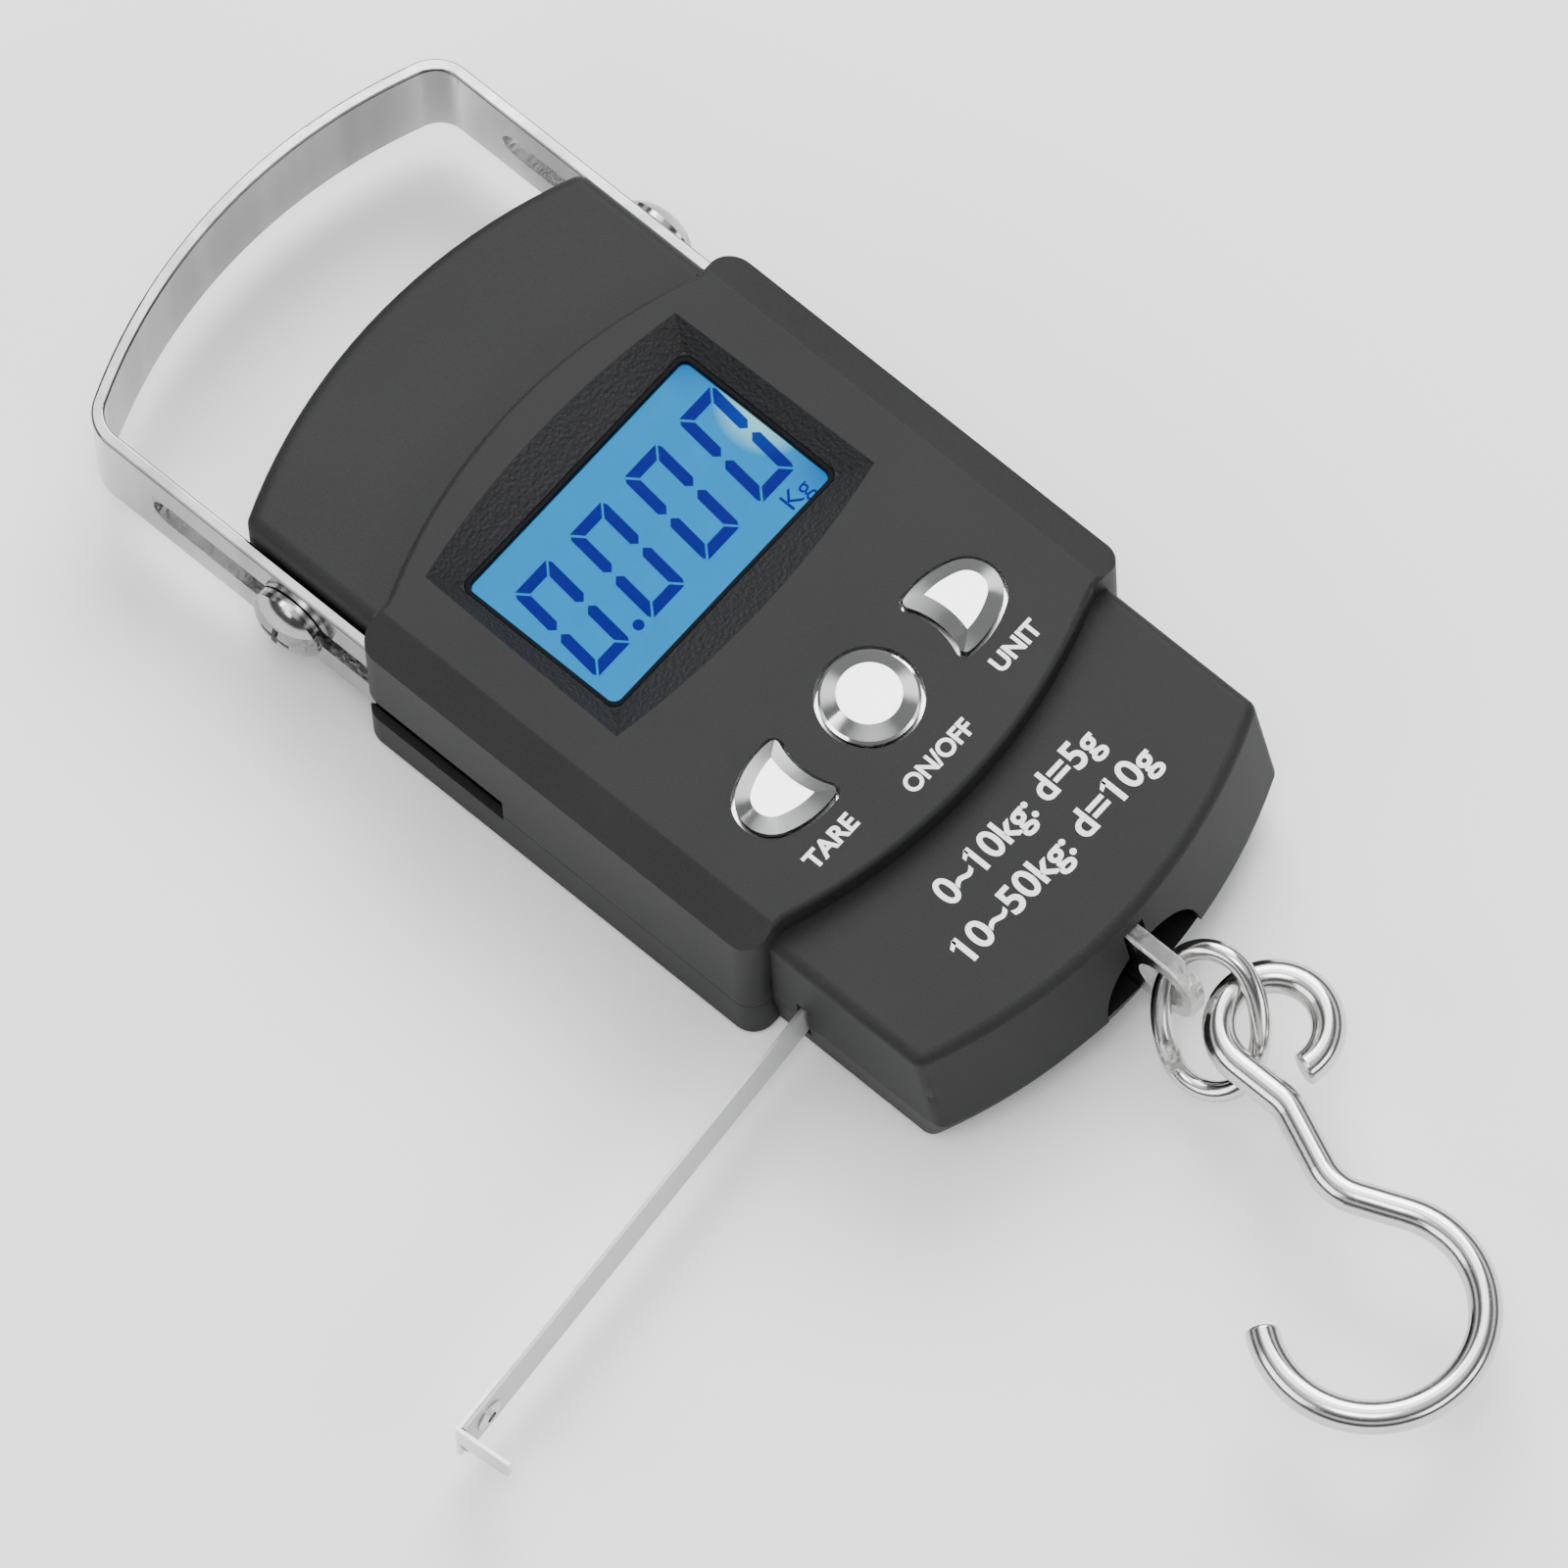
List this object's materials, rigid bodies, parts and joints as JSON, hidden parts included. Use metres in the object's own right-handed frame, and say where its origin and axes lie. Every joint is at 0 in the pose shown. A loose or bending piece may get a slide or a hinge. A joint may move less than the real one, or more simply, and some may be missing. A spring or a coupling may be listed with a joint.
{
  "type": "digital hanging scale",
  "caption": "Pocket digital hanging scale: stepped dark case with lit display and plated buttons, sliding strap handle, link and open hook, pull-out tape measure.",
  "frame": {"origin": "middle of the flat back face of the case, at the middle band's centre", "axes": "+X to the right seen from the front, +Y towards the strap handle, +Z out of the front face"},
  "size_m": [0.1335, 0.2123, 0.0293],
  "materials": {
    "case_plastic": "fine moulded grain, charcoal",
    "clear_window": "clear, glossy",
    "display_glass": "lit blue behind glass",
    "light_guide": "milky",
    "contact_rubber": "matt",
    "board_laminate": "green solder resist",
    "chip_plastic": "matt black",
    "button_chrome": "bright plated, slightly dished",
    "beam_aluminium": "milled",
    "gauge_coat": "soft white sealing coat",
    "wire_sheath": "thin insulated wire",
    "strap_chrome": "bright plated steel",
    "tab_steel": "cut plate with rough edges",
    "hook_steel": "polished steel wire",
    "tape_paint": "white enamel on spring steel",
    "spool_plastic": "natural nylon",
    "spring_steel": "spring steel",
    "zinc_steel": "zinc plated",
    "battery_jacket": "printed jacket"
  },
  "bodies": {
    "case": {"front_cover": "case_plastic", "back_cover": "case_plastic", "case_screws": "zinc_steel", "display_window": "clear_window", "lcd_panel": "display_glass", "backlight_plate": "light_guide", "contact_strip": "contact_rubber", "circuit_board": "board_laminate", "controller_chip": "chip_plastic", "button_domes": "zinc_steel", "load_cell": "beam_aluminium", "strain_gauges": "gauge_coat", "signal_wires": "wire_sheath", "load_cell_screws": "zinc_steel", "handle_bracket": "zinc_steel", "handle_screws": "strap_chrome", "handle_washers": "zinc_steel", "hanger_tab": "tab_steel", "hanger_pin": "zinc_steel", "return_spring": "spring_steel", "spool_pin": "zinc_steel", "tape_cover": "spool_plastic", "batteries": "battery_jacket", "battery_springs": "spring_steel", "battery_contacts": "zinc_steel"},
    "strap": {"handle_strap": "strap_chrome"},
    "power_key": {"power_button": "button_chrome"},
    "tare_key": {"tare_button": "button_chrome"},
    "unit_key": {"unit_button": "button_chrome"},
    "tape": {"tape_blade": "tape_paint", "tape_end_hook": "zinc_steel", "tape_rivet": "zinc_steel"},
    "spool": {"tape_spool": "spool_plastic", "tape_coil": "tape_paint"},
    "link": {"link_ring": "hook_steel"},
    "hook": {"hook": "hook_steel"},
    "door": {"battery_door": "case_plastic"}
  },
  "joints": [
    {"name": "handle_slide", "type": "slide", "parent": "case", "child": "strap", "axis": [0, 1, 0], "range_m": [-0.02, 0.0107]},
    {"name": "power_press", "type": "slide", "parent": "case", "child": "power_key", "axis": [0, 0, -1], "range_m": [0, 0.0004], "stiffness_N_per_m": 400},
    {"name": "tare_press", "type": "slide", "parent": "case", "child": "tare_key", "axis": [0, 0, -1], "range_m": [0, 0.0004], "stiffness_N_per_m": 400},
    {"name": "unit_press", "type": "slide", "parent": "case", "child": "unit_key", "axis": [0, 0, -1], "range_m": [0, 0.0004], "stiffness_N_per_m": 400},
    {"name": "tape_pull", "type": "slide", "parent": "case", "child": "tape", "axis": [-0.9973, -0.0732, 0], "range_m": [-0.0565, 0]},
    {"name": "spool_turn", "type": "hinge", "parent": "case", "child": "spool", "pos_m": [0, -0.0449, 0.008], "axis": [0, 0, 1], "range_deg": [-306, 1]},
    {"name": "link_swing", "type": "hinge", "parent": "case", "child": "link", "pos_m": [-0.0001, -0.06696, 0.01414], "axis": [1, 0, 0], "range_deg": [-15, 15]},
    {"name": "hook_swing", "type": "hinge", "parent": "link", "child": "hook", "pos_m": [0.00345, -0.0807, 0.014], "axis": [0, 0, 1], "range_deg": [-35, 35]},
    {"name": "door_lift", "type": "slide", "parent": "case", "child": "door", "axis": [0, 0, -1], "range_m": [0, 0.03]}
  ],
  "couplings": [
    {"joint": "spool_turn", "follows": "tape_pull", "rad_per_m": 94.34}
  ]
}
